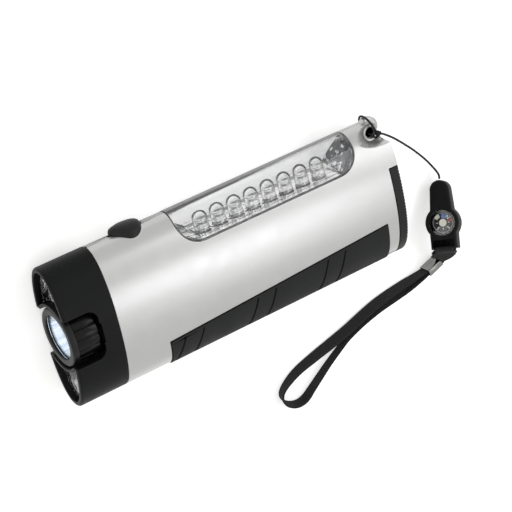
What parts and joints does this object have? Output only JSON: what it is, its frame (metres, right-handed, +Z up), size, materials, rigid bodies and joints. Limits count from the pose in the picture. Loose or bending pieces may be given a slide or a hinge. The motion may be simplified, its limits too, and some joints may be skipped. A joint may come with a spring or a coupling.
{
  "type": "flashlight",
  "caption": "Flat hand lamp with a twist nose lamp, a side window light, a push button, a rubber grip and a wrist strap with a small compass.",
  "frame": {"origin": "centre of the lamp's own bounding box, without its lanyard, on the surface that the lamp lies on", "axes": "+X from the nose to the rear along the lamp, +Y from the rubber grip to the side window, +Z up from the wide side that the lamp lies on"},
  "size_m": [0.1674, 0.0997, 0.0214],
  "materials": {
    "black_plastic": "matt black moulded plastic",
    "silver_paint": "satin silver paint on moulded plastic",
    "grip_rubber": "matt black rubber",
    "clear_plastic": "clear gloss plastic",
    "diode_resin": "water clear resin",
    "plated_plastic": "bright vacuum plated plastic",
    "plated_steel": "plated steel",
    "board": "lacquered circuit board",
    "cell_can": null,
    "cord": "black braided cord",
    "webbing": "black woven strap",
    "card": null
  },
  "bodies": {
    "lamp": {"head_shell": "black_plastic", "shell_near": "silver_paint", "shell_far": "silver_paint", "seam_strip_front": "silver_paint", "seam_strip_rear": "silver_paint", "rubber_grip": "grip_rubber", "window_cover": "clear_plastic", "led_tray": "plated_plastic", "side_led_board": "board", "tact_switch": "black_plastic", "main_board": "board", "lamp_led": "diode_resin", "lamp_seat": "black_plastic", "bulkhead": "black_plastic", "upper_pocket_reflector": "plated_plastic", "upper_pocket_led": "diode_resin", "upper_pocket_lens": "clear_plastic", "lower_pocket_reflector": "plated_plastic", "lower_pocket_led": "diode_resin", "lower_pocket_lens": "clear_plastic", "battery_holder": "black_plastic", "contact_front": "plated_steel", "head_screw_upper": "plated_steel", "head_screw_lower": "plated_steel", "lanyard_cord": "cord", "cord_hitch": "cord", "cord_knot": "cord", "compass_holder": "black_plastic", "compass_capsule": "clear_plastic", "compass_dome": "clear_plastic", "strap_crimp": "plated_steel", "wrist_strap": "webbing", "strap_tab": "webbing", "side_led_1": "diode_resin", "side_led_2": "diode_resin", "side_led_3": "diode_resin", "side_led_4": "diode_resin", "side_led_5": "diode_resin", "side_led_6": "diode_resin", "side_led_7": "diode_resin", "side_led_8": "diode_resin", "battery_cell_1": "cell_can", "contact_spring_1": "plated_steel", "shell_screw_1": "plated_steel", "battery_cell_2": "cell_can", "contact_spring_2": "plated_steel", "shell_screw_2": "plated_steel", "battery_cell_3": "cell_can", "contact_spring_3": "plated_steel", "shell_screw_3": "plated_steel"},
    "button": {"push_button": "black_plastic", "switch_plunger": "black_plastic"},
    "twist_lamp": {"lamp_barrel": "black_plastic", "lamp_bezel": "black_plastic", "lamp_lens": "clear_plastic", "lamp_reflector": "plated_plastic"},
    "battery_cap": {"battery_door": "black_plastic", "contact_rear": "plated_steel"},
    "card": {"compass_card": "card"}
  },
  "joints": [
    {"name": "button_press", "type": "slide", "parent": "lamp", "child": "button", "axis": [0, -1, 0], "range_m": [0, 0.0012], "stiffness_N_per_m": 1200, "springref_m": -0.0006},
    {"name": "lamp_twist", "type": "hinge", "parent": "lamp", "child": "twist_lamp", "pos_m": [-0.0684, -0.0011, 0.0107], "axis": [1, 0, 0], "range_deg": [0, 90]},
    {"name": "cap_pull", "type": "slide", "parent": "lamp", "child": "battery_cap", "axis": [1, 0, 0], "range_m": [0, 0.012]},
    {"name": "card_turn", "type": "hinge", "parent": "lamp", "child": "card", "pos_m": [0.0879, -0.0253, 0.0113], "axis": [-0.6512, 0.4592, 0.6042], "continuous": true}
  ]
}
